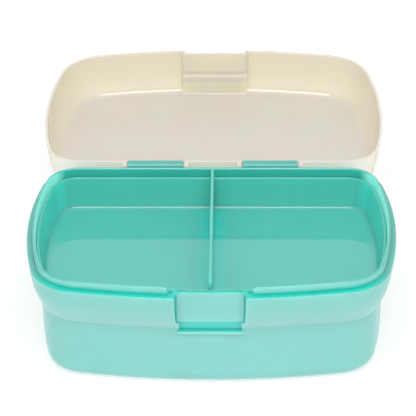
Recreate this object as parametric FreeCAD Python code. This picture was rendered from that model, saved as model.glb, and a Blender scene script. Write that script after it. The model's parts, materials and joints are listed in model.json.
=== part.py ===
"""Lunch box with a divided lift-out tray, a snap-hinged lid and a front clip.

Millimetres. +X to the right, +Y to the hinge side, +Z up. The origin is on the
underside of the tub, below the middle of its width and depth. The lid is drawn
shut, then swung open on its hinge, and the clip is left hanging from the lid.
"""
import FreeCAD
import Part
import math
import os

# Plan of the tub at its ledge
BOX_WIDTH = 178.0
BOX_DEPTH = 122.0
FRONT_BOW_RADIUS = 342.0
SIDE_BOW_RADIUS = 193.0
SIDE_BOW_MIDDLE = 8.5
FRONT_CORNER_RADIUS = 25.7
REAR_CORNER_RADIUS = 18.4

# Tub wall section
LEDGE_HEIGHT = 51.0
TUB_WALL = 2.0
TUB_FLOOR = 2.0
BOTTOM_ROUND = 6.0
BODY_DRAFT = 0.6
BAND_DROP = 19.5
BAND_INSET = 5.6
LEDGE_EDGE_BREAK = 0.4
LIP_SETBACK = 2.8
LIP_THICKNESS = 1.4
LIP_HEIGHT = 4.0
LIP_EDGE_BREAK = 0.4
RIM_WALL_DEPTH = 10.0
TRAY_SEAT_DEPTH = 18.2
TRAY_SEAT_INSET = 6.2
FLAT_STRIP = 3.0

# Latch pocket in the front of the tub
POCKET_WIDTH = 31.5
POCKET_DEPTH = 5.4
POCKET_DROP = 15.4
POCKET_CORNER = 3.2
POCKET_DRAFT = 0.8
POCKET_WALL = 1.6
CATCH_SLOT_WIDTH = 28.8
CATCH_SLOT_HEIGHT = 5.2
CATCH_SLOT_DEPTH = 2.2
SLOT_BEAD_RADIUS = 0.9
SLOT_BEAD_WIDTH = 30.6
LIP_GAP_WIDTH = 39.2
LIP_END_ROUND = 1.5
POCKET_EDGE_BREAK = 0.5

# Tray
TRAY_SIDE_GAP = 0.4
TRAY_FRONT_SETBACK = 8.5
TRAY_RIM_DROP = 0.4
TRAY_WALL = 1.2
TRAY_RIM_WIDTH = 1.8
TRAY_FLOOR = 1.3
TRAY_TAPER = 2.2
TRAY_INNER_ROUND = 1.9
TRAY_EDGE_BREAK = 0.35
TRAY_SEAT_GAP = 0.05
DIVIDER_THICKNESS = 1.6
DIVIDER_RISE = 5.4
DIVIDER_FRONT_ROUND = 3.4
DIVIDER_TOP_BREAK = 0.5

# Lid
LID_HEIGHT = 25.0
LID_WALL = 1.5
LID_BOW_RADIUS = 50.0
LID_TOP_ROUND = 7.0
LID_RIM_BREAK = 0.5
LID_SEAT_GAP = 0.3
LID_OPEN_ANGLE = 177.3

# Rear hinge: hooks on the tub round bars on the lid
HINGE_SETBACK = 2.8
HINGE_RISE = 1.45
HINGE_BAR_RADIUS = 1.6
HINGE_RUNNING_GAP = 0.05
HOOK_WALL = 1.45
HOOK_WIDTH = 27.6
HOOK_SPACING = 58.2
HOOK_END_ANGLE = 25.0
HOOK_SIDE_GAP = 0.5
HOOK_ROOT = 1.5
EAR_THICKNESS = 2.4
EAR_RADIUS = 2.3
EAR_HEIGHT = 5.0
STOP_HEEL_DROP = 2.6
MOVING_GAP = 0.3

# Front clip and its recess in the lid
RECESS_WIDTH = 33.2
RECESS_DEPTH = 3.9
RECESS_CHEEK = 1.2
RECESS_FOOT_ROUND = 2.5
CLIP_PIVOT_HEIGHT = 16.0
CLIP_BAR_RADIUS = 1.3
CLIP_RUNNING_GAP = 0.05
CLIP_CURL_RADIUS = 3.2
CLIP_SWING_GAP = 0.4
CLIP_MOUTH_ANGLE = 100.0
CLIP_THICKNESS = 2.2
CLIP_SIDE_GAP = 0.5
CLIP_HOOK_THICKNESS = 1.8
CLIP_HOOK_REACH = 1.6
CLIP_HOOK_GAP = 0.4
CLIP_TAIL = 3.6
CLIP_TAIL_FLARE = 1.4
CLIP_CORNER = 2.5

HALF_WIDTH = BOX_WIDTH / 2
FRONT = -BOX_DEPTH / 2
REAR = BOX_DEPTH / 2
LIP_INSIDE = LIP_SETBACK + LIP_THICKNESS
RIM_TOP = LEDGE_HEIGHT + LIP_HEIGHT
SEAT_HEIGHT = LEDGE_HEIGHT - TRAY_SEAT_DEPTH
LID_BASE = LEDGE_HEIGHT + LID_SEAT_GAP
HINGE_Y = REAR + HINGE_SETBACK
HINGE_Z = LEDGE_HEIGHT + HINGE_RISE
HOOK_BORE = HINGE_BAR_RADIUS + HINGE_RUNNING_GAP
HOOK_RADIUS = HOOK_BORE + HOOK_WALL
CLIP_PIVOT_Y = FRONT + RECESS_DEPTH
CLIP_PIVOT_Z = LID_BASE + CLIP_PIVOT_HEIGHT
CLIP_BORE = CLIP_BAR_RADIUS + CLIP_RUNNING_GAP
SWING_RADIUS = CLIP_CURL_RADIUS + CLIP_SWING_GAP
CATCH_Z = LEDGE_HEIGHT - POCKET_DROP
SLOT_BACK = POCKET_DEPTH + CATCH_SLOT_DEPTH

UP = FreeCAD.Vector(0, 0, 1)
RIGHT = FreeCAD.Vector(1, 0, 0)
ORIGIN = FreeCAD.Vector(0, 0, 0)


def point(x, y, z):
    return FreeCAD.Vector(x, y, z)


def circles_meet(first, first_radius, second, second_radius):
    """The right-hand front meeting point of two circles, each given as (x, y)."""
    dx = second[0] - first[0]
    dy = second[1] - first[1]
    distance = math.hypot(dx, dy)
    along = (first_radius**2 - second_radius**2 + distance**2) / (2 * distance)
    across = math.sqrt(first_radius**2 - along**2)
    middle = (first[0] + along * dx / distance, first[1] + along * dy / distance)
    choices = [
        (middle[0] - side * across * dy / distance, middle[1] + side * across * dx / distance)
        for side in (-1, 1)
    ]
    return max(choices, key=lambda c: c[0] - c[1])


def plan(side_inset=0.0, front_inset=0.0):
    """Arcs (x, y, radius, start, end) of the bowed plan, anticlockwise, and the rear line.

    The rear and the sides come in by side_inset and the front by front_inset.
    """
    half_width = HALF_WIDTH - side_inset
    rear = REAR - side_inset
    side_bow = SIDE_BOW_RADIUS - side_inset
    front_bow = FRONT_BOW_RADIUS - front_inset
    front_corner = FRONT_CORNER_RADIUS - side_inset
    rear_corner = REAR_CORNER_RADIUS - side_inset
    front_centre = (0.0, FRONT + front_inset + front_bow)
    side_centre = (half_width - side_bow, SIDE_BOW_MIDDLE)
    near = circles_meet(front_centre, front_bow - front_corner, side_centre, side_bow - front_corner)
    far_y = rear - rear_corner
    reach = math.sqrt((side_bow - rear_corner) ** 2 - (far_y - side_centre[1]) ** 2)
    far = (side_centre[0] + reach, far_y)
    front_end = math.atan2(near[1] - front_centre[1], near[0] - front_centre[0])
    side_start = math.atan2(near[1] - side_centre[1], near[0] - side_centre[0])
    side_end = math.atan2(far[1] - side_centre[1], far[0] - side_centre[0])
    right = [
        (near[0], near[1], front_corner, front_end, side_start),
        (side_centre[0], side_centre[1], side_bow, side_start, side_end),
        (far[0], far[1], rear_corner, side_end, math.pi / 2),
    ]
    left = [(-x, y, radius, math.pi - end, math.pi - start) for x, y, radius, start, end in reversed(right)]
    fronts = [
        (front_centre[0], front_centre[1], front_bow, -math.pi - front_end, -math.pi / 2),
        (front_centre[0], front_centre[1], front_bow, -math.pi / 2, front_end),
    ]
    return {"fronts": fronts, "arcs": fronts + right + left, "rear": (far[0], rear)}


def profile_wire(steps, shift=0.0):
    """A closed wire in the XZ plane: each step is (x, z), or (x, z, x, z) for an arc by its middle."""
    edges = []
    last = point(steps[0][0] + shift, 0, steps[0][1])
    first = last
    for step in list(steps[1:]) + [None]:
        if step is None:
            if last.distanceToPoint(first) > 1e-7:
                edges.append(Part.makeLine(last, first))
            break
        end = point(step[-2] + shift, 0, step[-1])
        if len(step) == 4:
            middle = point(step[0] + shift, 0, step[1])
            edges.append(Part.Arc(last, middle, end).toShape())
        else:
            edges.append(Part.makeLine(last, end))
        last = end
    return Part.Wire(edges)


def ring(outline, steps):
    """The wall section in steps, (outward, up), carried all the way round a plan."""
    solids = [arc_sector(arc, steps) for arc in outline["arcs"]]
    half_length, rear = outline["rear"]
    face = Part.Face(profile_wire(steps))
    straight = face.extrude(point(0, 2 * half_length, 0))
    straight.rotate(ORIGIN, UP, 90)
    straight.translate(point(half_length, rear, 0))
    solids.append(straight)
    return solids[0].multiFuse(solids[1:]).removeSplitter()


def arc_sector(arc, steps):
    """The wall section in steps turned round one arc of a plan."""
    x, y, radius, start, end = arc
    face = Part.Face(profile_wire(steps, radius))
    sector = face.revolve(ORIGIN, UP, math.degrees(end - start))
    sector.rotate(ORIGIN, UP, math.degrees(start))
    sector.translate(point(x, y, 0))
    return sector


def front_fill(outline, steps):
    """The section in steps carried along the front of a plan only."""
    left, right = [arc_sector(arc, steps) for arc in outline["fronts"]]
    return left.fuse(right)


def plate(outline, inset, bottom, thickness):
    """A flat plate that fills a plan brought in by inset."""
    edges = []
    for x, y, radius, start, end in outline["arcs"]:
        r = radius - inset
        places = [
            point(x + r * math.cos(a), y + r * math.sin(a), bottom)
            for a in (start, (start + end) / 2, end)
        ]
        edges.append(Part.Arc(*places).toShape())
    half_length, rear = outline["rear"]
    edges.append(
        Part.makeLine(point(half_length, rear - inset, bottom), point(-half_length, rear - inset, bottom))
    )
    face = Part.Face(Part.Wire(Part.__sortEdges__(edges)))
    return face.extrude(point(0, 0, thickness))


def box(x, y, z):
    """A box between the (low, high) pairs x, y and z."""
    return Part.makeBox(x[1] - x[0], y[1] - y[0], z[1] - z[0], point(x[0], y[0], z[0]))


def side_prism(steps, x_low, x_high):
    """A prism along X: steps are (y, z), or (y, z, y, z) for an arc by its middle."""
    face = Part.Face(profile_wire(steps))
    solid = face.extrude(point(0, -(x_high - x_low), 0))
    solid.rotate(ORIGIN, UP, 90)
    solid.translate(point(x_low, 0, 0))
    return solid


def rod(radius, y, z, x_low, x_high):
    """A round bar along X."""
    return Part.makeCylinder(radius, x_high - x_low, point(x_low, y, z), RIGHT)


def on_circle(y, z, radius, degrees):
    """A point (y, z) on a circle, with the angle from +Y towards +Z."""
    angle = math.radians(degrees)
    return (y + radius * math.cos(angle), z + radius * math.sin(angle))


def curl(y, z, bore, radius, start, end, x_low, x_high):
    """Part of a tube along X, from the angle start to the angle end."""
    middle = (start + end) / 2
    steps = [
        on_circle(y, z, bore, start),
        on_circle(y, z, radius, start),
        on_circle(y, z, radius, middle) + on_circle(y, z, radius, end),
        on_circle(y, z, bore, end),
        on_circle(y, z, bore, middle) + on_circle(y, z, bore, start),
    ]
    return side_prism(steps, x_low, x_high)


def quarter(centre, radius, start, end):
    """Middle and end of a small arc in a section, for use as one step."""
    return on_circle(*centre, radius, (start + end) / 2) + on_circle(*centre, radius, end)


def tub_outer_steps():
    """Outside of the tub's wall section, from the underside up to the ledge."""
    foot = -BAND_INSET - BODY_DRAFT
    drop = BAND_DROP - LEDGE_EDGE_BREAK
    bow = (drop**2 + BAND_INSET**2) / (2 * BAND_INSET)
    edge = LEDGE_HEIGHT - LEDGE_EDGE_BREAK
    swing = math.degrees(math.asin(drop / bow))
    return [
        (foot - BOTTOM_ROUND, 0),
        quarter((foot - BOTTOM_ROUND, BOTTOM_ROUND), BOTTOM_ROUND, -90, 0),
        (-BAND_INSET, LEDGE_HEIGHT - BAND_DROP),
        quarter((-bow, edge), bow, -swing, 0),
        (-LEDGE_EDGE_BREAK, LEDGE_HEIGHT),
    ]


def tub_section():
    """The whole wall section of the tub, with a strip of its floor."""
    foot = -BAND_INSET - BODY_DRAFT
    inner_round = BOTTOM_ROUND - TUB_WALL
    strip = foot - BOTTOM_ROUND - FLAT_STRIP
    return [
        (strip, 0),
        *tub_outer_steps(),
        (-LIP_SETBACK, LEDGE_HEIGHT),
        (-LIP_SETBACK, RIM_TOP - LIP_EDGE_BREAK),
        (-LIP_SETBACK - LIP_EDGE_BREAK, RIM_TOP),
        (-LIP_INSIDE + LIP_EDGE_BREAK, RIM_TOP),
        (-LIP_INSIDE, RIM_TOP - LIP_EDGE_BREAK),
        (-LIP_INSIDE, LEDGE_HEIGHT - RIM_WALL_DEPTH),
        (-TRAY_SEAT_INSET, SEAT_HEIGHT),
        (-BAND_INSET - TUB_WALL, SEAT_HEIGHT),
        (foot - TUB_WALL, TUB_FLOOR + inner_round),
        quarter((foot - TUB_WALL - inner_round, TUB_FLOOR + inner_round), inner_round, 0, -90),
        (strip, TUB_FLOOR),
    ]


def latch_housing(outline):
    """The thicker wall behind the latch pocket and its catch slot, inside the tub's outer face."""
    depth = SLOT_BACK + POCKET_WALL
    fill = front_fill(outline, [(-depth, 0), *tub_outer_steps(), (-depth, LEDGE_HEIGHT)])
    half = POCKET_WIDTH / 2 + POCKET_WALL
    slot_bottom = CATCH_Z - CATCH_SLOT_HEIGHT
    panel_back = FRONT + POCKET_DEPTH + POCKET_WALL
    slot_back = FRONT + depth
    steps = [
        (FRONT, LEDGE_HEIGHT),
        (FRONT, slot_bottom - POCKET_WALL),
        (slot_back, slot_bottom - POCKET_WALL),
        (slot_back, CATCH_Z + POCKET_WALL - CATCH_SLOT_DEPTH),
        (panel_back, CATCH_Z + POCKET_WALL),
        (panel_back, LEDGE_HEIGHT),
    ]
    return side_prism(steps, -half, half).common(fill)


def pocket_cutter():
    """The latch pocket, with drafted sides and round inner corners, and the catch slot below it."""
    half = POCKET_WIDTH / 2
    back = FRONT + POCKET_DEPTH
    ahead = FRONT - POCKET_DEPTH
    mouth = half + 2 * POCKET_DRAFT
    corners = [(-mouth, ahead), (-half, back), (half, back), (mouth, ahead), (-mouth, ahead)]
    face = Part.Face(Part.makePolygon([point(x, y, CATCH_Z) for x, y in corners]))
    pocket = face.extrude(point(0, 0, RIM_TOP + LIP_HEIGHT - CATCH_Z))
    inner = [e for e in pocket.Edges if e.BoundBox.YMin > back - 1e-6 and e.BoundBox.ZLength > POCKET_DROP]
    pocket = pocket.makeFillet(POCKET_CORNER, inner)
    slot_half = CATCH_SLOT_WIDTH / 2
    slot = box((-slot_half, slot_half), (ahead, FRONT + SLOT_BACK), (CATCH_Z - CATCH_SLOT_HEIGHT, CATCH_Z))
    return pocket.fuse(slot)


def lip_gap():
    """The cut in the lip above the latch pocket, with the lip's ends rounded at the top."""
    half = LIP_GAP_WIDTH / 2
    above = RIM_TOP + LIP_HEIGHT
    turn = RIM_TOP - LIP_END_ROUND
    wide = half + LIP_END_ROUND
    steps = [
        (-half, LEDGE_HEIGHT),
        (half, LEDGE_HEIGHT),
        (half, turn),
        quarter((wide, turn), LIP_END_ROUND, 180, 90),
        (wide, above),
        (-wide, above),
        (-wide, RIM_TOP),
        quarter((-wide, turn), LIP_END_ROUND, 90, 0),
    ]
    gap = Part.Face(profile_wire(steps)).extrude(point(0, SLOT_BACK + POCKET_WALL, 0))
    gap.translate(point(0, FRONT, 0))
    return gap


def hinge_hook(centre):
    """One hook on the rear of the tub: it rises behind the lip and curls back over the lid's bar."""
    x_low = centre - HOOK_WIDTH / 2
    x_high = centre + HOOK_WIDTH / 2
    ring_part = curl(HINGE_Y, HINGE_Z, HOOK_BORE, HOOK_RADIUS, HOOK_END_ANGLE, 270, x_low, x_high)
    root = box(
        (x_low, x_high),
        (REAR - HOOK_ROOT, HINGE_Y),
        (HINGE_Z - HOOK_RADIUS, HINGE_Z - HOOK_BORE),
    )
    return ring_part.fuse(root)


def make_tub():
    outline = plan()
    section = tub_section()
    tub = ring(outline, section)
    tub = tub.fuse(plate(outline, -section[0][0], 0, TUB_FLOOR))
    tub = tub.fuse(latch_housing(outline))
    tub = tub.cut(lip_gap()).cut(pocket_cutter()).removeSplitter()
    brow = FRONT + POCKET_DEPTH + 1e-6
    reach = POCKET_WIDTH / 2 + POCKET_DRAFT
    edges = [
        e
        for e in tub.Edges
        if abs(e.BoundBox.ZMin - LEDGE_HEIGHT) < 1e-6
        and e.BoundBox.ZLength < 1e-6
        and e.BoundBox.YMax < brow
        and max(-e.BoundBox.XMin, e.BoundBox.XMax) < reach
    ]
    tub = tub.makeChamfer(POCKET_EDGE_BREAK, edges)
    bead = rod(
        SLOT_BEAD_RADIUS,
        FRONT + BAND_INSET,
        CATCH_Z - CATCH_SLOT_HEIGHT - SLOT_BEAD_RADIUS,
        -SLOT_BEAD_WIDTH / 2,
        SLOT_BEAD_WIDTH / 2,
    )
    hooks = [hinge_hook(side * HOOK_SPACING / 2) for side in (-1, 1)]
    return tub.multiFuse([bead] + hooks).removeSplitter()


def make_tray():
    outline = plan(LIP_INSIDE + TRAY_SIDE_GAP, TRAY_FRONT_SETBACK)
    top = LEDGE_HEIGHT - TRAY_RIM_DROP
    bottom = SEAT_HEIGHT + TRAY_SEAT_GAP
    floor_top = bottom + TRAY_FLOOR
    inner_foot = -TRAY_TAPER - TRAY_WALL
    strip = inner_foot - TRAY_INNER_ROUND - FLAT_STRIP
    inner_centre = (inner_foot - TRAY_INNER_ROUND, floor_top + TRAY_INNER_ROUND)
    section = [
        (strip, bottom),
        (-TRAY_TAPER - TRAY_EDGE_BREAK, bottom),
        (-TRAY_TAPER, bottom + TRAY_EDGE_BREAK),
        (0, top - TRAY_EDGE_BREAK),
        (-TRAY_EDGE_BREAK, top),
        (TRAY_EDGE_BREAK - TRAY_RIM_WIDTH, top),
        (-TRAY_RIM_WIDTH, top - TRAY_EDGE_BREAK),
        (inner_foot, floor_top + TRAY_INNER_ROUND),
        quarter(inner_centre, TRAY_INNER_ROUND, 0, -90),
        (strip, floor_top),
    ]
    tray = ring(outline, section).fuse(plate(outline, -strip, bottom, TRAY_FLOOR))
    return tray.fuse(make_divider(top, floor_top)).removeSplitter()


def make_divider(rim_top, floor_top):
    """The tray's middle wall, moulded with it and standing above its rim."""
    mid_wall = TRAY_WALL / 2
    front = FRONT + TRAY_FRONT_SETBACK + mid_wall
    rear = REAR - LIP_INSIDE - TRAY_SIDE_GAP - mid_wall
    top = rim_top + DIVIDER_RISE
    rim = rim_top - mid_wall
    corner = (front + DIVIDER_FRONT_ROUND, top - DIVIDER_FRONT_ROUND)
    steps = [
        (front + TRAY_TAPER, floor_top - TRAY_FLOOR / 2),
        (rear - TRAY_TAPER, floor_top - TRAY_FLOOR / 2),
        (rear, rim),
        (rear, top),
        (corner[0], top),
        quarter(corner, DIVIDER_FRONT_ROUND, 90, 180),
        (front, rim),
    ]
    half = DIVIDER_THICKNESS / 2
    wall = side_prism(steps, -half, half)
    tops = [e for e in wall.Edges if e.BoundBox.ZMin > top - 1e-6 and e.BoundBox.YLength > BOX_DEPTH / 2]
    return wall.makeChamfer(DIVIDER_TOP_BREAK, tops)


def lid_arcs(inset):
    """Bowed side and rounded shoulder of the lid's section, brought in by inset.

    Returns the side's two steps from the rim up and the two steps back down.
    """
    side_radius = LID_BOW_RADIUS - inset
    shoulder = LID_TOP_ROUND - inset
    rise = LID_HEIGHT - LID_TOP_ROUND
    span = LID_BOW_RADIUS - LID_TOP_ROUND
    shoulder_x = -LID_BOW_RADIUS + math.sqrt(span**2 - rise**2)
    lean = math.degrees(math.asin(rise / span))
    start = math.degrees(math.asin(LID_RIM_BREAK / side_radius))
    side_centre = (-LID_BOW_RADIUS, LID_BASE)
    shoulder_centre = (shoulder_x, LID_BASE + rise)
    up = [
        on_circle(*side_centre, side_radius, start),
        quarter(side_centre, side_radius, start, lean),
        quarter(shoulder_centre, shoulder, lean, 90),
    ]
    down = [
        on_circle(*shoulder_centre, shoulder, 90),
        quarter(shoulder_centre, shoulder, 90, lean),
        quarter(side_centre, side_radius, lean, start),
    ]
    return up, down, shoulder_x


def recess_steps(inset, front, bottom, top):
    """Side view of the clip's recess, with its walls moved inwards by inset."""
    swing = SWING_RADIUS + inset
    panel = CLIP_PIVOT_Y + inset
    pivot = (CLIP_PIVOT_Y, CLIP_PIVOT_Z)
    turn = -math.degrees(math.acos(inset / swing))
    return [
        (front, bottom),
        (panel, bottom),
        on_circle(*pivot, swing, turn),
        quarter(pivot, swing, turn, 0),
        (CLIP_PIVOT_Y + swing, top),
        (front, top),
    ]


def recess_foot(ceiling, half):
    """The hollow round where the clip recess meets the lid's top, on the inside."""
    wall = CLIP_PIVOT_Y + SWING_RADIUS + LID_WALL
    centre = (wall + RECESS_FOOT_ROUND, ceiling - RECESS_FOOT_ROUND)
    steps = [
        (CLIP_PIVOT_Y + SWING_RADIUS + LID_WALL / 2, centre[1]),
        (wall, centre[1]),
        quarter(centre, RECESS_FOOT_ROUND, 180, 90),
        (centre[0], ceiling + LID_WALL / 2),
        (CLIP_PIVOT_Y + SWING_RADIUS + LID_WALL / 2, ceiling + LID_WALL / 2),
    ]
    return side_prism(steps, -half, half)


def hinge_ear(x_low):
    """One ear of the lid: it holds the end of a bar, and its heel stops the open lid on the tub."""
    stop_y = REAR + MOVING_GAP
    stop_z = LEDGE_HEIGHT - STOP_HEEL_DROP
    heel = side_prism(
        [
            (stop_y, HINGE_Z - EAR_RADIUS / 2),
            (stop_y, stop_z),
            (HINGE_Y, stop_z),
            (HINGE_Y + EAR_RADIUS, HINGE_Z),
            (HINGE_Y, HINGE_Z + EAR_RADIUS),
        ],
        x_low,
        x_low + EAR_THICKNESS,
    )
    heel.rotate(point(0, HINGE_Y, HINGE_Z), RIGHT, LID_OPEN_ANGLE)
    root = REAR - LID_WALL / 2
    arm = side_prism(
        [
            (root, LID_BASE + LID_RIM_BREAK),
            (HINGE_Y, HINGE_Z - EAR_RADIUS),
            (HINGE_Y, HINGE_Z + EAR_RADIUS),
            (root, LID_BASE + EAR_HEIGHT),
        ],
        x_low,
        x_low + EAR_THICKNESS,
    )
    return rod(EAR_RADIUS, HINGE_Y, HINGE_Z, x_low, x_low + EAR_THICKNESS).multiFuse([heel, arm])


def hinge_bars():
    """The lid's two hinge bars and the ears at their ends."""
    pieces = []
    reach = HOOK_WIDTH / 2 + HOOK_SIDE_GAP
    for side in (-1, 1):
        centre = side * HOOK_SPACING / 2
        low = centre - reach - EAR_THICKNESS
        high = centre + reach
        pieces.append(rod(HINGE_BAR_RADIUS, HINGE_Y, HINGE_Z, low, high + EAR_THICKNESS))
        pieces.append(hinge_ear(low))
        pieces.append(hinge_ear(high))
    return pieces


def make_lid():
    """The lid in its shut place."""
    outline = plan()
    outer, _, shoulder_x = lid_arcs(0)
    _, inner, _ = lid_arcs(LID_WALL)
    top = LID_BASE + LID_HEIGHT
    strip = shoulder_x - FLAT_STRIP
    rim_outer = outer[0][0] - LID_RIM_BREAK
    rim_inner = inner[-1][-2] + LID_RIM_BREAK
    section = [
        (strip, top),
        (strip, top - LID_WALL),
        *inner,
        (rim_inner, LID_BASE),
        (rim_outer, LID_BASE),
        *outer,
    ]
    lid = ring(outline, section).fuse(plate(outline, -strip, top - LID_WALL, LID_WALL))
    depth = RECESS_DEPTH + SWING_RADIUS + LID_WALL
    fill = front_fill(
        outline, [(strip - depth, LID_BASE), (rim_outer, LID_BASE), *outer, (strip - depth, top)]
    )
    half = RECESS_WIDTH / 2
    wall_half = half + RECESS_CHEEK
    housing = side_prism(recess_steps(LID_WALL, FRONT, LID_BASE, top), -wall_half, wall_half)
    housing = housing.fuse(recess_foot(top - LID_WALL, wall_half)).common(fill)
    ahead = FRONT - RECESS_DEPTH
    recess = side_prism(recess_steps(0, ahead, LID_BASE - LID_WALL, top + LID_WALL), -half, half)
    reliefs = [
        rod(
            HOOK_RADIUS + MOVING_GAP,
            HINGE_Y,
            HINGE_Z,
            side * HOOK_SPACING / 2 - HOOK_WIDTH / 2 - HOOK_SIDE_GAP,
            side * HOOK_SPACING / 2 + HOOK_WIDTH / 2 + HOOK_SIDE_GAP,
        )
        for side in (-1, 1)
    ]
    lid = lid.fuse(housing).cut(recess)
    for relief in reliefs:
        lid = lid.cut(relief)
    clip_bar = rod(
        CLIP_BAR_RADIUS, CLIP_PIVOT_Y, CLIP_PIVOT_Z, -half - RECESS_CHEEK / 2, half + RECESS_CHEEK / 2
    )
    return lid.multiFuse([clip_bar] + hinge_bars()).removeSplitter()


def make_clip():
    """The front clip in its shut place: a plate that curls round the lid's bar and hooks under the catch."""
    half = POCKET_WIDTH / 2 - CLIP_SIDE_GAP
    face = CLIP_PIVOT_Y - CLIP_CURL_RADIUS
    back = face + CLIP_THICKNESS
    hook_top = CATCH_Z - CLIP_HOOK_GAP
    hook_bottom = hook_top - CLIP_HOOK_THICKNESS
    tail = hook_bottom - CLIP_TAIL
    blade = side_prism(
        [
            (face, CLIP_PIVOT_Z),
            (face, hook_bottom),
            (face - CLIP_TAIL_FLARE, tail),
            (back - CLIP_TAIL_FLARE, tail),
            (back, hook_bottom),
            (back, CLIP_PIVOT_Z),
        ],
        -half,
        half,
    )
    corners = [e for e in blade.Edges if e.BoundBox.XLength < 1e-6 and e.BoundBox.ZMax < tail + 1e-6]
    blade = blade.makeFillet(CLIP_CORNER, corners)
    gap = CLIP_MOUTH_ANGLE / 2
    collar = curl(CLIP_PIVOT_Y, CLIP_PIVOT_Z, CLIP_BORE, CLIP_CURL_RADIUS, gap, 360 - gap, -half, half)
    hook_half = CATCH_SLOT_WIDTH / 2 - CLIP_SIDE_GAP
    hook_tip = FRONT + POCKET_DEPTH + CLIP_HOOK_REACH
    hook = side_prism(
        [
            (face + CLIP_THICKNESS / 2, hook_bottom),
            (hook_tip - CLIP_HOOK_THICKNESS / 2, hook_bottom),
            (hook_tip, hook_top - CLIP_HOOK_THICKNESS / 4),
            (hook_tip, hook_top),
            (face + CLIP_THICKNESS / 2, hook_top),
        ],
        -hook_half,
        hook_half,
    )
    bore = rod(CLIP_BORE, CLIP_PIVOT_Y, CLIP_PIVOT_Z, -half, half)
    return blade.cut(bore).multiFuse([collar, hook]).removeSplitter()


def swing_open(shape):
    """Turn a shape with the lid, from shut to fully open."""
    shape.rotate(point(0, HINGE_Y, HINGE_Z), RIGHT, -LID_OPEN_ANGLE)
    return shape


def hang_turn(clip):
    """How far the clip has to turn on the shut lid to hang free once the lid is open."""
    middle = clip.Solids[0].CenterOfMass
    lean = math.degrees(math.atan2(middle.z - CLIP_PIVOT_Z, middle.y - CLIP_PIVOT_Y))
    return -90 - lean + LID_OPEN_ANGLE - 360


def main():
    tub = make_tub()
    tray = make_tray()
    lid = swing_open(make_lid())
    clip = make_clip()
    turn = hang_turn(clip)
    clip.rotate(point(0, CLIP_PIVOT_Y, CLIP_PIVOT_Z), RIGHT, turn)
    clip = swing_open(clip)
    nodes = {"base_tub": tub, "divided_tray": tray, "lid": lid, "front_clip": clip}
    os.makedirs("parts", exist_ok=True)
    for name, shape in nodes.items():
        shape.Solids[0].exportStep(os.path.join("parts", name + ".step"))
    pivot = FreeCAD.Placement(
        ORIGIN, FreeCAD.Rotation(RIGHT, -LID_OPEN_ANGLE), point(0, HINGE_Y, HINGE_Z)
    ).multVec(point(0, CLIP_PIVOT_Y, CLIP_PIVOT_Z))
    print("lid hinge y, z:", round(HINGE_Y, 4), round(HINGE_Z, 4))
    print("clip pivot y, z with the lid open:", round(pivot.y, 4), round(pivot.z, 4))
    print("clip turn from shut to hanging:", round(turn, 3))


main()
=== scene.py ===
"""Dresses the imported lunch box: plastics, a swept tray, a pale table, soft light and the photo's camera."""
import json
import math
from collections import namedtuple

import bmesh
import bpy
from mathutils import Matrix, Vector
from mathutils.geometry import convex_hull_2d


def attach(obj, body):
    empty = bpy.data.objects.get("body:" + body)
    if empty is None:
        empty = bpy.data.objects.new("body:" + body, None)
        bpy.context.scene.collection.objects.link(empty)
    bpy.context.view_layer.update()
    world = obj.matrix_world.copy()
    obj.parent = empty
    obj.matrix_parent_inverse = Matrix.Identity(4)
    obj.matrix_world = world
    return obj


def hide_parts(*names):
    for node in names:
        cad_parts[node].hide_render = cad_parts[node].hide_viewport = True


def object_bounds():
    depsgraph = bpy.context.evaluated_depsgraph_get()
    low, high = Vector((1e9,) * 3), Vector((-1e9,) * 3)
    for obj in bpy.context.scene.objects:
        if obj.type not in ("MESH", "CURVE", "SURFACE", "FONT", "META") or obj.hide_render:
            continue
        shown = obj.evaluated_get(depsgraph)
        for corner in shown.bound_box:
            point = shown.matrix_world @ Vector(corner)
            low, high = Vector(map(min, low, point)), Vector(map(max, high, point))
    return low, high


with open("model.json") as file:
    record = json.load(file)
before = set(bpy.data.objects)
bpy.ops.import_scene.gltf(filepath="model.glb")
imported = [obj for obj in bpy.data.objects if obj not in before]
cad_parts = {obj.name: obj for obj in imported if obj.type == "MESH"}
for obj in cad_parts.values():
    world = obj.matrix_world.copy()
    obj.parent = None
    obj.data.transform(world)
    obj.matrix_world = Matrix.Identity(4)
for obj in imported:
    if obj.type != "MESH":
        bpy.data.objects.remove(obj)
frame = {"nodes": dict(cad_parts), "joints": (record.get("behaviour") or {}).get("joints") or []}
CAD_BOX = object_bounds()

bl_info = {
    "name": "Lunch box",
    "version": (1, 0, 0),
    "blender": (4, 5, 0),
    "location": "View3D > Sidebar > Lunch box",
    "description": "Finishes a hinged lunch box with a divided tray and sets its stage",
    "category": "Object",
}

# What Blender's startup scene holds, which makes way for the stage
STARTUP_OBJECTS = ("Cube", "Light", "Camera")

LID_HINGE = next(j for j in frame["joints"] if j["name"] == "lid_hinge")
CLIP_HINGE = next(j for j in frame["joints"] if j["name"] == "clip_hinge")

# The hinge axis stands this far above the tub's ledge, which gives the ledge from the frame
HINGE_ABOVE_LEDGE = 0.00145
LEDGE_HEIGHT = LID_HINGE["pos_m"][2] - HINGE_ABOVE_LEDGE

# How far the flared band and the painted glow in the gap round the tray reach below the ledge
BAND_DROP = 0.0195
GAP_DEPTH = 0.012

# The catch slot in the tub's front, and the depth beyond which a face there lies inside the slot
SLOT_HALF_WIDTH = 0.015
SLOT_BACK = -0.0545
SLOT_BOTTOM = 0.028

# How far up the lip the front ledge's painted shade reaches, where along the box that shade starts and is
# full, and how far below the ledge a face still counts as being on its level
LIP_FOOT = 0.0021
FRONT_START = -0.036
FRONT_FULL = -0.050
LEDGE_SLACK = 0.0002
RIM_SLACK = 0.0012

# Where the painted light through the divider is full on the tray's floor, and how far to each side it reaches
DIVIDER_NEAR = 0.001
DIVIDER_REACH = 0.0085

# How far behind the hinge axis the lid's rear wall reaches
LID_REAR_DEPTH = 0.012

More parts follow.
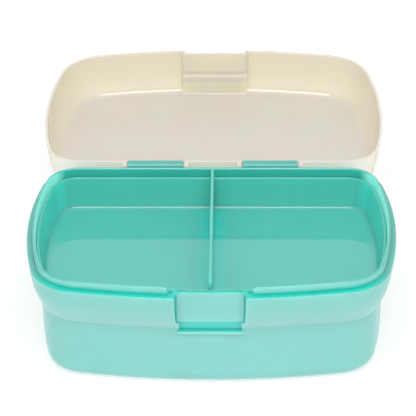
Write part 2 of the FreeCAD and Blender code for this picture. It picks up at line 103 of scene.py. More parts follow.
# The open lid's rim: its rise above the hinge axis there, its slope and the depth of its dulled edge,
# and how far behind the axis the hinge ears reach
RIM_RISE = 0.00115
RIM_SLOPE = math.tan(math.pi - math.radians(LID_HINGE["range_deg"][1]))
RIM_EDGE = 0.0008
EAR_REACH = -0.0001

# The housing round the clip's bar, inside the lid: half its width, and its reach inward and above the bar
BAY_HALF_WIDTH = 0.0182
BAY_DEPTH = 0.0058
BAY_RISE = 0.0062

# Depth of scattered light, and its reach in red, green and blue as shares of that depth
SCATTER_DEPTH = 0.004
TEAL_SPREAD = (0.35, 1.0, 0.9)
CREAM_SPREAD = (1.0, 0.95, 0.85)

# Finish that all the plastics share: refraction, scuffs, depth of the dimples, and how the tints drift
PLASTIC_IOR = 1.5
SCUFFS = 0.03
DIMPLE_DEPTH = 0.00004
TINT_DRIFT = 0.015
TINT_SCALE = 17.0
PATCH_SCALE = 42.0

# The swept tray: the lengths that come from the frame and those that come from its properties, the widest
# gap between the points read off its rim, the points in each round, and what counts as one point
FRAME_LENGTHS = ("Base height", "Height")
SECTION_LENGTHS = ("Rim width", "Wall", "Floor", "Taper", "Foot round", "Edge round", "Strip")
PLAN_SPACING = 0.004
ROUND_POINTS = 6
DIVIDER_ROUND_STEPS = 12
DIVIDER_EDGE_STEPS = 4
WELD = 1e-6

# The soft light above the front: its place, the point it faces, its width and its depth
KEY_PLACE = (0.02, -0.495, 0.94)
KEY_AIM = (0, 0.10, 0.03)
KEY_WIDTH = 0.8
KEY_DEPTH = 0.43

# Faces with a look of their own, nearly all of it painted light, shade or glow:
# how to build their mask, their deep and pale tones, roughness and glow
Patch = namedtuple("Patch", "mask tones roughness glow", defaults=(0.0,))


def colour_property(name, description, default):
    return bpy.props.FloatVectorProperty(
        name=name, description=description, subtype="COLOR", size=3, min=0.0, max=1.0, default=default
    )


def length_property(name, description, default, low=0.0):
    return bpy.props.FloatProperty(
        name=name, description=description, default=default, min=low, unit="LENGTH"
    )


def angle_property(name, description, degrees):
    return bpy.props.FloatProperty(
        name=name, description=description, default=math.radians(degrees), subtype="ANGLE"
    )


def strength_property(name, description, default, **unit):
    return bpy.props.FloatProperty(name=name, description=description, default=default, min=0.0, **unit)


class LunchBoxPlastics(bpy.types.PropertyGroup):
    """Colours and finish of the moulded pieces, with painted light, shade and glow on many faces."""

    tub_colour: colour_property("Tub", "Colour of the tub's polished faces", (0.048, 0.455, 0.385))
    # Painted sheen: the pale colour of the outward faces stands in for the front light's sheen
    skin_sheen_colour: colour_property("Outer skin", "Colour of the tub's satin outer skin", (0.250, 0.622, 0.572))
    # Painted light: the band's pale foot stands in for light from the bright table below
    band_light_colour: colour_property("Low band", "Pale foot of the tub's flared band", (0.345, 0.670, 0.632))
    # Painted shade and sheen: a darker, greyer tone on the rims' up-facing edges
    rim_shade_sheen_colour: colour_property("Rims", "Top edges of the tub and the tray", (0.100, 0.420, 0.370))
    # Painted glow: a bright colour and emission for light through the thin lip
    lip_glow_colour: colour_property("Lip inside", "Glow of the thin lip beside the tray", (0.260, 0.700, 0.620))
    ledge_shade_colour: colour_property("Ledge", "Front ledge, in the lip's shade", (0.022, 0.545, 0.460))
    # Painted glow: a bright colour for light through the thin wall behind the slot
    slot_glow_colour: colour_property("Catch slot", "Glow of the thin wall behind the slot", (0.150, 0.900, 0.800))
    tray_colour: colour_property("Tray", "Colour of the lift-out tray", (0.098, 0.555, 0.475))
    # Painted shade: the up-facing floor is darker than the tray's own colour
    floor_shade_colour: colour_property("Tray floor", "Colour of the tray's polished floor", (0.098, 0.500, 0.435))
    # Painted light: the tray's side walls are paler than its own colour
    side_light_colour: colour_property("Tray sides", "Tray's left and right walls", (0.095, 0.700, 0.600))
    # Painted light: the floor beside the divider is brighter
    divider_light_colour: colour_property("Divider foot", "Tray floor beside the thin divider", (0.065, 0.690, 0.600))
    # Painted glow: colour and emission for light through the thin walls round the tray
    gap_glow_colour: colour_property("Gap", "Glow of the thin walls between tub and tray", (0.080, 0.640, 0.545))
    lid_colour: colour_property("Lid", "Colour of the lid", (0.722, 0.675, 0.560))
    # Painted light: a near-white tone on the lid's shaded rear outside
    rear_light_colour: colour_property("Lid rear", "Pale outside of the lid above the hinge", (0.990, 0.850, 0.750))
    # Painted shade: a greyer tone on the lid's rim and hinge ears
    edge_shade_colour: colour_property("Lid edge", "Lid's rim and hinge ears", (0.640, 0.600, 0.530))
    # Painted shade: a darker tone on the shoulder over the clip bar
    shoulder_shade_colour: colour_property("Bay shoulder", "Shoulder over the clip bar", (0.610, 0.545, 0.455))
    # Painted light: a bright tone on the thin wall below the shoulder
    bay_glow_colour: colour_property("Bay wall", "Thin lid wall below that shoulder", (0.990, 0.830, 0.600))
    # The flat top's own faint mottled tones, also painted shade on the lid's up-facing round and rim
    panel_colour_deep: colour_property("Panel deep", "Rosy tone in the lid's flat top", (0.598, 0.537, 0.502))
    panel_colour_pale: colour_property("Panel pale", "Cool tone in the lid's flat top", (0.555, 0.564, 0.518))
    clip_colour: colour_property("Clip", "Colour of the front clip", (0.765, 0.705, 0.615))
    # Emission strength of the painted glow in the gap round the tray
    gap_glow: strength_property("Gap glow", "Light that comes through the thin walls round the tray", 0.3)
    grain_size: length_property("Grain size", "Distance across one dimple of the skin", 0.0011, low=0.0002)


class LunchBoxTray(bpy.types.PropertyGroup):
    """Section of the swept tray and of its divider."""

    rim_drop: length_property("Rim drop", "From the tub's ledge down to the tray's rim", 0.0004)
    rim_width: length_property("Rim width", "Thickness of the wall at the rim", 0.0013)
    wall: length_property("Wall", "Thickness of the wall at its foot", 0.0012)
    floor: length_property("Floor", "Thickness of the floor", 0.0013)
    taper: length_property("Taper", "How far the wall leans in from rim to foot", 0.0022)
    foot_round: length_property("Foot round", "Hollow round between wall and floor", 0.0024)
    edge_round: length_property("Edge round", "Round of the rim and of the outer foot", 0.0006)
    strip: length_property("Strip", "Flat border of the floor that is swept with the wall", 0.003)
    divider_thickness: length_property("Divider", "Thickness of the divider", 0.0016)
    divider_round: length_property("Divider front round", "Round of the divider's front corner", 0.0034)
    divider_edge: length_property("Divider edge", "Round of the divider's top edges", 0.0006)
    plan_points: bpy.props.IntProperty(
        name="Plan points", description="Points round the tray", default=320, min=40
    )


class LunchBoxStage(bpy.types.PropertyGroup):
    """Table, light and camera."""

    table_size: length_property("Table size", "Side of the pale table", 6.0, low=1.0)
    table_colour: colour_property("Table", "Colour of the table", (0.42, 0.42, 0.42))
    table_glow: strength_property("Table glow", "Strength of the light from below the table", 0.62)
    sky_strength: strength_property("Sky strength", "Strength of the even light from all round", 0.67)
    key_power: strength_property("Key power", "Power of the soft light above the front", 7.2, unit="POWER")
    camera_distance: length_property("Camera distance", "From the camera to its target", 1.00211, low=0.1)
    camera_elevation: angle_property("Camera elevation", "How far the camera looks down", 29.47)
    camera_azimuth: angle_property("Camera azimuth", "How far the camera stands to the front's right", 0.91)
    camera_roll: angle_property("Camera roll", "Clockwise turn of the camera", 0.42)
    camera_view: angle_property("Camera view", "Angle that the square picture takes in", 11.64)
    camera_target: bpy.props.FloatVectorProperty(
        name="Camera target", description="Point in the middle of the picture, on the ledge's level",
        default=(-0.00192, 0.02347, LEDGE_HEIGHT), size=3, subtype="TRANSLATION",
    )


def placed(name, data):
    """A new object in the scene."""
    made = bpy.data.objects.new(name, data)
    bpy.context.scene.collection.objects.link(made)
    return made


def feed(tree, value, socket):
    """Link a socket to another one, or set it to a plain value."""
    if isinstance(value, bpy.types.NodeSocket):
        tree.links.new(value, socket)
    else:
        socket.default_value = value


def join(tree, *ends):
    """Link each (output, input) pair."""
    for start, end in ends:
        tree.links.new(start, end)


def maths(tree, operation, first, second=0.0):
    """A Math node; each operand is a socket or a number."""
    node = tree.nodes.new("ShaderNodeMath")
    node.operation = operation
    feed(tree, first, node.inputs[0])
    feed(tree, second, node.inputs[1])
    return node.outputs[0]


def product(tree, first, *others):
    """Several values or masks multiplied together."""
    total = first
    for value in others:
        total = maths(tree, "MULTIPLY", total, value)
    return total


def split(tree, vector):
    """The X, Y and Z of a vector."""
    node = tree.nodes.new("ShaderNodeSeparateXYZ")
    tree.links.new(vector, node.inputs[0])
    return node.outputs


def noise(tree, coordinates, scale, detail=2.0, roughness=0.5, distortion=0.0):
    """A noise texture; scale is a socket or a number."""
    node = tree.nodes.new("ShaderNodeTexNoise")
    node.inputs["Detail"].default_value = detail
    node.inputs["Roughness"].default_value = roughness
    node.inputs["Distortion"].default_value = distortion
    feed(tree, scale, node.inputs["Scale"])
    tree.links.new(coordinates, node.inputs["Vector"])
    return node.outputs["Fac"]


def remap(tree, value, low, high, to_low, to_high):
    """A Map Range node that is clamped at both ends."""
    node = tree.nodes.new("ShaderNodeMapRange")
    for socket, number in zip(("From Min", "From Max", "To Min", "To Max"), (low, high, to_low, to_high)):
        node.inputs[socket].default_value = number
    tree.links.new(value, node.inputs["Value"])
    return node.outputs["Result"]


def ramp(tree, value, start, full):
    """A mask that is 0 at the start and beyond it, and grows to 1."""
    return remap(tree, value, start, full, 0.0, 1.0)


def mix_colours(tree, factor, first, second):
    """A colour mix; each colour is a socket or four numbers."""
    node = tree.nodes.new("ShaderNodeMix")
    node.data_type = "RGBA"
    tree.links.new(factor, node.inputs["Factor"])
    feed(tree, first, node.inputs["A"])
    feed(tree, second, node.inputs["B"])
    return node.outputs["Result"]


def new_group(name, inputs, outputs):
    """An empty shader node group with its named sockets."""
    group = bpy.data.node_groups.new(name, "ShaderNodeTree")
    for socket, kind, default in inputs:
        made = group.interface.new_socket(name=socket, in_out="INPUT", socket_type=kind)
        made.default_value = default
    for socket, kind in outputs:
        group.interface.new_socket(name=socket, in_out="OUTPUT", socket_type=kind)
    entry = group.nodes.new("NodeGroupInput")
    leave = group.nodes.new("NodeGroupOutput")
    return group, entry.outputs, leave.inputs


def moulded_skin_group():
    """The fine dimpled skin of a moulded part: a height for bump and a roughness that wanders."""
    group, given, result = new_group(
        "Moulded skin",
        [
            ("Vector", "NodeSocketVector", (0, 0, 0)),
            ("Dimple scale", "NodeSocketFloat", 900.0),
            ("Roughness", "NodeSocketFloat", 0.2),
            ("Wander", "NodeSocketFloat", 0.05),
        ],
        [("Height", "NodeSocketFloat"), ("Roughness", "NodeSocketFloat")],
    )
    dimples = noise(group, given["Vector"], given["Dimple scale"], 3.0, 0.55)
    sink = noise(group, given["Vector"], 38.0, 1.0)
    height = maths(group, "ADD", dimples, product(group, sink, 2.0))
    patches = noise(group, given["Vector"], 75.0, 4.0, 0.6)
    swing = product(group, maths(group, "SUBTRACT", patches, 0.5), given["Wander"])
    join(
        group,
        (height, result["Height"]),
        (maths(group, "ADD", given["Roughness"], swing), result["Roughness"]),
    )
    return group


def handling_scuffs_group():
    """Fine scratches from handling and washing: a mask that is 0 on clean plastic."""
    group, given, result = new_group(
        "Handling scuffs",
        [("Vector", "NodeSocketVector", (0, 0, 0)), ("Amount", "NodeSocketFloat", 0.3)],
        [("Mask", "NodeSocketFloat")],
    )
    total = 0.0
    for turn, stretch in ((0.4, 22.0), (1.9, 26.0)):
        mapping = group.nodes.new("ShaderNodeMapping")
        mapping.inputs["Rotation"].default_value = (turn / 3, turn / 2, turn)
        mapping.inputs["Scale"].default_value = (40.0, 40.0 * stretch, 40.0 * stretch)
        group.links.new(given["Vector"], mapping.inputs["Vector"])
        hair = ramp(group, noise(group, mapping.outputs["Vector"], 1.0, 1.0), 0.66, 0.74)
        total = maths(group, "MAXIMUM", total, hair)
    worn = ramp(group, noise(group, given["Vector"], 28.0, 2.0), 0.45, 0.7)
    group.links.new(product(group, total, worn, given["Amount"]), result["Mask"])
    return group


def cloudy_tint_group():
    """A soft drift between two close colours, as pigment flows in a moulding."""
    group, given, result = new_group(
        "Cloudy tint",
        [
            ("Vector", "NodeSocketVector", (0, 0, 0)),
            ("Scale", "NodeSocketFloat", 20.0),
            ("Deep", "NodeSocketColor", (0, 0, 0, 1)),
            ("Pale", "NodeSocketColor", (1, 1, 1, 1)),
        ],
        [("Colour", "NodeSocketColor")],
    )
    cloud = ramp(group, noise(group, given["Vector"], given["Scale"], 3.0, 0.55, 0.6), 0.3, 0.7)
    group.links.new(mix_colours(group, cloud, given["Deep"], given["Pale"]), result["Colour"])
    return group


def outer_skin_group():
    """Masks of the faces that look away from the middle of the box, of its catch slot and of its inner sides.

    The outside mask leaves out the slot and the edges that face up.
    """
    group, given, result = new_group(
        "Outer skin",
        [
            ("Vector", "NodeSocketVector", (0, 0, 0)),
            ("Normal", "NodeSocketVector", (0, 0, 0)),
            ("Slot half width", "NodeSocketFloat", 0.0),
            ("Slot back", "NodeSocketFloat", 0.0),
            ("Slot bottom", "NodeSocketFloat", 0.0),
        ],
        [("Mask", "NodeSocketFloat"), ("Slot", "NodeSocketFloat"), ("Inside", "NodeSocketFloat")],
    )
    place = split(group, given["Vector"])
    turned = split(group, given["Normal"])
    level = group.nodes.new("ShaderNodeCombineXYZ")
    outward = group.nodes.new("ShaderNodeVectorMath")
    outward.operation = "NORMALIZE"
    facing = group.nodes.new("ShaderNodeVectorMath")
    facing.operation = "DOT_PRODUCT"
    join(
        group,
        (place["X"], level.inputs["X"]),
        (place["Y"], level.inputs["Y"]),
        (level.outputs[0], outward.inputs[0]),
        (outward.outputs["Vector"], facing.inputs[0]),
        (given["Normal"], facing.inputs[1]),
    )
    upright = maths(group, "SUBTRACT", facing.outputs["Value"], product(group, turned["Z"], 0.6))
    outside = ramp(group, upright, 0.3, 0.7)
    slot = product(
        group,
        maths(group, "LESS_THAN", maths(group, "ABSOLUTE", place["X"]), given["Slot half width"]),
        maths(group, "GREATER_THAN", place["Y"], given["Slot back"]),
        maths(group, "LESS_THAN", place["Y"], 0.0),
        maths(group, "GREATER_THAN", place["Z"], given["Slot bottom"]),
    )
    inward = ramp(group, facing.outputs["Value"], -0.3, -0.7)
    sideways = ramp(group, maths(group, "ABSOLUTE", turned["X"]), 0.5, 0.8)
    join(
        group,
        (product(group, outside, maths(group, "SUBTRACT", 1.0, slot)), result["Mask"]),
        (product(group, outside, slot), result["Slot"]),
        (product(group, inward, sideways), result["Inside"]),
    )
    return group


def shared_group(name, build):
    """The node group of that name, built the first time that it is asked for."""
    return bpy.data.node_groups.get(name) or build()


def place_group(tree, group, vector, **values):
    """The outputs of a group node in a material, with its vector linked and its other inputs fed."""
    node = tree.nodes.new("ShaderNodeGroup")
    node.node_tree = group
    tree.links.new(vector, node.inputs["Vector"])
    for name, value in values.items():
        feed(tree, value, node.inputs[name.replace("_", " ")])
    return node.outputs


def shade(colour, factor=1.0):
    """A colour made deeper or paler, with full alpha."""
    return tuple(min(1.0, c * factor) for c in colour) + (1.0,)


def drift(colour):
    """The deep and pale ends of a colour that drifts slightly over the moulding."""
    return shade(colour, 1 - TINT_DRIFT), shade(colour, 1 + TINT_DRIFT)


def moulded_plastic(name, colour, spread, roughness, scatter, bump, patches=()):
    """A moulded plastic with cloudy pigment, a dimpled skin, faint scuffs, some light inside it and painted
    light, shade and glow.
    """
    material = bpy.data.materials.new(name)
    material.use_nodes = True
    tree = material.node_tree
    shader = tree.nodes["Principled BSDF"]
    shader.inputs["IOR"].default_value = PLASTIC_IOR
    shader.inputs["Subsurface Weight"].default_value = scatter
    shader.inputs["Subsurface Radius"].default_value = spread
    shader.inputs["Subsurface Scale"].default_value = SCATTER_DEPTH
    texture = tree.nodes.new("ShaderNodeTexCoord")
    place = texture.outputs["Object"]
    worn = place_group(tree, shared_group("Handling scuffs", handling_scuffs_group), place, Amount=SCUFFS)
    skin = place_group(
        tree, shared_group("Moulded skin", moulded_skin_group), place,
        Dimple_scale=1 / bpy.context.scene.lunch_box_plastics.grain_size,
        Roughness=roughness, Wander=roughness * 0.4,
    )
    cloud = shared_group("Cloudy tint", cloudy_tint_group)
    deep, pale = drift(colour)
    base = place_group(tree, cloud, place, Scale=TINT_SCALE, Deep=deep, Pale=pale)["Colour"]
    rough = maths(tree, "ADD", skin["Roughness"], worn["Mask"])
    painted_glow = None
    for patch in patches:
        mask = patch.mask(tree, texture)
        deep, pale = patch.tones
        tint = place_group(tree, cloud, place, Scale=PATCH_SCALE, Deep=deep, Pale=pale)["Colour"]
        base = mix_colours(tree, mask, base, tint)
        rough = maths(tree, "ADD", rough, product(tree, mask, patch.roughness - roughness))
        # Painted glow: a patch with a glow adds emission, though the plastic is no lamp
        if patch.glow:
            painted_glow = mix_colours(tree, mask, painted_glow or (0, 0, 0, 1), shade(pale[:3], patch.glow))
    if painted_glow:
        tree.links.new(painted_glow, shader.inputs["Emission Color"])
        shader.inputs["Emission Strength"].default_value = 1.0
    relief = tree.nodes.new("ShaderNodeBump")
    relief.inputs["Strength"].default_value = bump
    relief.inputs["Distance"].default_value = DIMPLE_DEPTH
    join(
        tree,
        (skin["Height"], relief.inputs["Height"]),
        (relief.outputs["Normal"], shader.inputs["Normal"]),
        (base, shader.inputs["Base Color"]),
        (rough, shader.inputs["Roughness"]),
    )
    return material


def place_of(tree, texture):
    """X, Y and Z of a point's place on the box."""
    return split(tree, texture.outputs["Object"])


def facing_of(tree, texture):
    """X, Y and Z of the way that a point faces."""
    return split(tree, texture.outputs["Normal"])


def skin_masks(tree, texture):
    """The outputs that tell a piece's outside, the catch slot and the inner sides from the rest."""
    return place_group(
        tree, shared_group("Outer skin", outer_skin_group), texture.outputs["Object"],
        Normal=texture.outputs["Normal"],
        Slot_half_width=SLOT_HALF_WIDTH, Slot_back=SLOT_BACK, Slot_bottom=SLOT_BOTTOM,
    )


def outer_skin(tree, texture):
    """Mask of the outside, without the catch slot."""
    return skin_masks(tree, texture)["Mask"]


def catch_slot(tree, texture):
    """Mask of the wall behind the catch slot, where a glow is painted."""
    return skin_masks(tree, texture)["Slot"]


def inner_wall(tree, texture):
    """Mask of the left and right inner walls."""
    return skin_masks(tree, texture)["Inside"]


def low_band(tree, texture):
    """Mask that grows down the flared band from below the ledge to the crease; light from the table is
    painted there.
    """
    place = place_of(tree, texture)
    facing = facing_of(tree, texture)
    return product(
        tree,
        ramp(tree, place["Z"], LEDGE_HEIGHT - BAND_DROP / 4, LEDGE_HEIGHT - BAND_DROP),
        ramp(tree, facing["Z"], -0.08, -0.18),
        maths(tree, "GREATER_THAN", place["Z"], LEDGE_HEIGHT - BAND_DROP * 1.2),
    )


def lip_foot(tree, texture):
    """Mask of the front ledge and of the foot of the lip that stands on it, where shade is painted."""
    place = place_of(tree, texture)
    return product(
        tree,
        ramp(tree, place["Z"], LEDGE_HEIGHT + LIP_FOOT, LEDGE_HEIGHT + LIP_FOOT / 4),
        maths(tree, "GREATER_THAN", place["Z"], LEDGE_HEIGHT - LEDGE_SLACK),
        ramp(tree, place["Y"], FRONT_START, FRONT_FULL),
    )


def rim_top(tree, texture):
    """Mask of the edges that face up at the ledge's level or higher, where shade and sheen are painted."""
    place = place_of(tree, texture)
    facing = facing_of(tree, texture)
    high = maths(tree, "GREATER_THAN", place["Z"], LEDGE_HEIGHT - RIM_SLACK)
    return product(tree, high, ramp(tree, facing["Z"], 0.2, 0.6))


def near_rim(tree, texture):
    """Mask that fades down from the rim, where tub and tray stand close together."""
    place = place_of(tree, texture)
    return ramp(tree, place["Z"], LEDGE_HEIGHT - GAP_DEPTH, LEDGE_HEIGHT)


def lip_inside(tree, texture):
    """Mask of the lip's left and right inner faces, close above the tray, where a glow is painted."""
    return product(tree, inner_wall(tree, texture), near_rim(tree, texture))


def high_outside(tree, texture):
    """Mask of the tray's outside near the rim, where a glow is painted."""
    return product(tree, outer_skin(tree, texture), near_rim(tree, texture))


def level_floor(tree, texture):
    """Mask of faces that look straight up."""
    facing = facing_of(tree, texture)
    return ramp(tree, facing["Z"], 0.75, 0.98)


def divider_foot(tree, texture):
    """Mask of the floor beside the divider, where light through the thin plate is painted."""
    place = place_of(tree, texture)
    return product(
        tree,
        level_floor(tree, texture),
        ramp(tree, maths(tree, "ABSOLUTE", place["X"]), DIVIDER_REACH, DIVIDER_NEAR),
        maths(tree, "LESS_THAN", place["Z"], LEDGE_HEIGHT - GAP_DEPTH),
    )


def tray_foot(tree, texture):
    """Mask of the hollow round between the tray's walls and its floor."""
    place = place_of(tree, texture)
    facing = facing_of(tree, texture)
    return product(
        tree,
        ramp(tree, facing["Z"], 0.15, 0.4),
        ramp(tree, facing["Z"], 0.99, 0.9),
        maths(tree, "LESS_THAN", place["Z"], LEDGE_HEIGHT - GAP_DEPTH),
    )


def tray_rim(tree, texture):
    """Mask of the tray's top edge, without the divider that stands above it."""
    place = place_of(tree, texture)
    return product(tree, maths(tree, "LESS_THAN", place["Z"], LEDGE_HEIGHT), rim_top(tree, texture))


def lid_level(tree, texture):
    """Mask of the inside of the lid's flat top and of its rim, which face up while the lid is open. Its tones
    are the top's own faint mottling, and painted shade on the up-facing round and rim.
    """
    facing = facing_of(tree, texture)
    return ramp(tree, facing["Z"], 0.35, 0.98)


def clip_bay(tree, texture):
    """Mask of the inside of the clip's housing, and whether a point there lies over the clip's bar."""
    place = place_of(tree, texture)
    _, bar_y, bar_z = CLIP_HINGE["pos_m"]
    bay = product(
        tree,
        maths(tree, "LESS_THAN", maths(tree, "ABSOLUTE", place["X"]), BAY_HALF_WIDTH),
        maths(tree, "GREATER_THAN", place["Y"], bar_y - BAY_DEPTH),
        maths(tree, "LESS_THAN", place["Y"], bar_y),
        maths(tree, "LESS_THAN", place["Z"], bar_z + BAY_RISE),
    )
    return bay, maths(tree, "GREATER_THAN", place["Z"], bar_z)


def bay_shoulder(tree, texture):
    """Mask of the round shoulder over the clip's bar, where shade is painted."""
    bay, over = clip_bay(tree, texture)
    facing = facing_of(tree, texture)
    return product(tree, bay, over, ramp(tree, facing["Z"], 0.15, 0.5))


def bay_wall(tree, texture):
    """Mask of the thin upright wall below the shoulder, where the light that shines through it is painted."""
    bay, over = clip_bay(tree, texture)
    facing = facing_of(tree, texture)
    return product(tree, bay, maths(tree, "SUBTRACT", 1.0, over), ramp(tree, facing["Z"], 0.35, 0.05))


def lid_edge(tree, texture):
    """Mask of the lid's rim and hinge ears, which are duller than its walls and get a greyer tone of painted
    shade.
    """
    place = place_of(tree, texture)
    from_hinge = maths(tree, "SUBTRACT", place["Y"], LID_HINGE["pos_m"][1])
    edge_level = LID_HINGE["pos_m"][2] + RIM_RISE - RIM_EDGE
    edge = maths(tree, "ADD", product(tree, from_hinge, RIM_SLOPE), edge_level)
    rim = maths(tree, "GREATER_THAN", place["Z"], edge)
    ears = maths(tree, "LESS_THAN", from_hinge, EAR_REACH)
    return maths(tree, "MAXIMUM", rim, ears)


def lid_rear(tree, texture):
    """Mask of the lid's outside next to the hinge, which faces the tub while the lid is open and gets painted
    light.
    """
    place = place_of(tree, texture)
    facing = facing_of(tree, texture)
    near = maths(tree, "LESS_THAN", place["Y"], LID_HINGE["pos_m"][1] + LID_REAR_DEPTH)
    return product(tree, near, ramp(tree, facing["Y"], -0.3, -0.7))


def finish_node(node, material):
    """Give a CAD node its material."""
    piece = frame["nodes"][node]
    piece.data.materials.clear()
    piece.data.materials.append(material)


class LUNCHBOX_OT_tub(bpy.types.Operator):
    """Finish the tub in moulded plastic with a satin outside and painted sheen, light, shade and glow"""

    bl_idname = "lunchbox.tub"
    bl_label = "Tub"

    def execute(self, context):
        plastics = context.scene.lunch_box_plastics
        patches = [
            # Painted sheen on the outward faces
            Patch(outer_skin, drift(plastics.skin_sheen_colour), roughness=0.32),
            # Painted light from the table on the band's foot
            Patch(low_band, drift(plastics.band_light_colour), roughness=0.32),
            # Painted glow behind the catch slot
            Patch(catch_slot, drift(plastics.slot_glow_colour), roughness=0.1),
            # Painted shade and sheen on the up-facing rim edges
            Patch(rim_top, drift(plastics.rim_shade_sheen_colour), roughness=0.3),
            # Painted shade on the front ledge and the lip's foot
            Patch(lip_foot, drift(plastics.ledge_shade_colour), roughness=0.45),
            # Painted glow inside the lip, with emission
            Patch(lip_inside, drift(plastics.lip_glow_colour), roughness=0.3, glow=plastics.gap_glow),
        ]
        plastic = moulded_plastic(
            "tub plastic", plastics.tub_colour, TEAL_SPREAD,
            roughness=0.3, scatter=0.7, bump=0.2, patches=patches,
        )
        finish_node("base_tub", plastic)
        return {"FINISHED"}


def tray_plastic(plastics):
    """The tray's polished plastic, with painted light, shade and glow."""
    patches = [
        # Painted glow on the tray's outside near the rim, with emission
        Patch(high_outside, drift(plastics.gap_glow_colour), roughness=0.1, glow=plastics.gap_glow),
        # Painted light on the tray's side walls
        Patch(inner_wall, drift(plastics.side_light_colour), roughness=0.025),
        # Painted shade on the up-facing floor
        Patch(level_floor, drift(plastics.floor_shade_colour), roughness=0.025),
        # Painted light on the floor beside the divider
        Patch(divider_foot, drift(plastics.divider_light_colour), roughness=0.025),
        # Painted shade of the floor's tone on the foot round, which is also rougher
        Patch(tray_foot, drift(plastics.floor_shade_colour), roughness=0.17),
        # Painted shade and sheen on the tray's rim
        Patch(tray_rim, drift(plastics.rim_shade_sheen_colour), roughness=0.1),
    ]
    return moulded_plastic(
        "tray plastic", plastics.tray_colour, TEAL_SPREAD,
        roughness=0.025, scatter=0.7, bump=0.03, patches=patches,
    )


def plan_loop(corners, spacing):
    """The outer edge of a cloud of points seen from above, as points no further apart than the spacing."""
    flat = [(v.x, v.y) for v in corners]
    edge = [Vector(flat[i]) for i in convex_hull_2d(flat)]
    points = []
    for start, end in zip(edge, edge[1:] + edge[:1]):
        parts = max(1, math.ceil((end - start).length / spacing))
        points += [start.lerp(end, k / parts) for k in range(parts)]
    return points


def loop_object(name, points):
    """A closed level loop of edges."""
    mesh = bpy.data.meshes.new(name)
    ring = [(k, (k + 1) % len(points)) for k in range(len(points))]
    mesh.from_pydata([(x, y, 0.0) for x, y in points], ring, [])
    return placed(name, mesh)


def indexed(tree, kind, values):
    """A value that depends on the point's index; each is a socket or a number."""
    node = tree.nodes.new("GeometryNodeIndexSwitch")
    node.data_type = kind
    while len(node.index_switch_items) < len(values):
        node.index_switch_items.new()
    tree.links.new(tree.nodes.new("GeometryNodeInputIndex").outputs[0], node.inputs["Index"])
    for k, value in enumerate(values):
        feed(tree, value, node.inputs[k + 1])
    return node.outputs[0]


def section_point(tree, across, up):
    """A point of the section: across the wall, outward positive, and up from the tray's underside.

    The sweep lays the section's second axis downward.
    """
    node = tree.nodes.new("ShaderNodeCombineXYZ")
    feed(tree, across, node.inputs["X"])
    feed(tree, product(tree, up, -1.0), node.inputs["Y"])
    return node.outputs[0]


def tray_section(tree, sizes):
    """The wall's open section, from the floor's top over the rim to the floor's underside, and its end."""
    foot = maths(tree, "ADD", sizes["Taper"], sizes["Wall"])
    reach = maths(tree, "ADD", maths(tree, "ADD", foot, sizes["Foot round"]), sizes["Strip"])
    end = product(tree, reach, -1.0)
    corners = [
        section_point(tree, end, sizes["Floor"]),
        section_point(tree, product(tree, foot, -1.0), sizes["Floor"]),
        section_point(tree, product(tree, sizes["Rim width"], -1.0), sizes["Height"]),
        section_point(tree, 0.0, sizes["Height"]),
        section_point(tree, product(tree, sizes["Taper"], -1.0), 0.0),
        section_point(tree, end, 0.0),
    ]
    edge = sizes["Edge round"]
    radii = [0.0, sizes["Foot round"], edge, edge, edge, 0.0]
    line = tree.nodes.new("GeometryNodeMeshLine")
    line.inputs["Count"].default_value = len(corners)
    moved = tree.nodes.new("GeometryNodeSetPosition")
    curve = tree.nodes.new("GeometryNodeMeshToCurve")
    rounds = tree.nodes.new("GeometryNodeFilletCurve")
    rounds.mode = "POLY"
    rounds.inputs["Count"].default_value = ROUND_POINTS
    join(
        tree,
        (line.outputs["Mesh"], moved.inputs["Geometry"]),
        (indexed(tree, "VECTOR", corners), moved.inputs["Position"]),
        (moved.outputs["Geometry"], curve.inputs["Mesh"]),
        (curve.outputs["Curve"], rounds.inputs["Curve"]),
        (indexed(tree, "FLOAT", radii), rounds.inputs["Radius"]),
    )
    return rounds.outputs["Curve"], end


def moved_up(tree, geometry, up):
    """The geometry, raised by a height."""
    rise = tree.nodes.new("ShaderNodeCombineXYZ")
    moved = tree.nodes.new("GeometryNodeSetPosition")
    join(
        tree,
        (up, rise.inputs["Z"]),
        (geometry, moved.inputs["Geometry"]),
        (rise.outputs[0], moved.inputs["Offset"]),
    )
    return moved.outputs["Geometry"]


def tray_plate(tree, plan, end):
    """A flat plate that fills the plan, drawn in to the section's end."""
    normal = tree.nodes.new("GeometryNodeInputNormal")
    shift = tree.nodes.new("ShaderNodeVectorMath")
    shift.operation = "SCALE"
    moved = tree.nodes.new("GeometryNodeSetPosition")
    fill = tree.nodes.new("GeometryNodeFillCurve")
    fill.mode = "NGONS"
    join(
        tree,
        (normal.outputs[0], shift.inputs[0]),
        (end, shift.inputs["Scale"]),
        (plan, moved.inputs["Geometry"]),
        (shift.outputs[0], moved.inputs["Offset"]),
        (moved.outputs["Geometry"], fill.inputs["Curve"]),
    )
    return fill.outputs["Mesh"]


def smooth_plan(tree, loop, points):
    """The loop as an evenly divided level curve whose normals lie flat and point outward."""
    curve = tree.nodes.new("GeometryNodeMeshToCurve")
    smooth = tree.nodes.new("GeometryNodeCurveSplineType")
    smooth.spline_type = "CATMULL_ROM"
    even = tree.nodes.new("GeometryNodeResampleCurve")
    level = tree.nodes.new("GeometryNodeSetCurveNormal")
    level.mode = "Z_UP"
    join(
        tree,
        (loop, curve.inputs["Mesh"]),
        (curve.outputs["Curve"], smooth.inputs["Curve"]),
        (smooth.outputs["Curve"], even.inputs["Curve"]),
        (points, even.inputs["Count"]),
        (even.outputs["Curve"], level.inputs["Curve"]),
    )
    return level.outputs["Curve"]


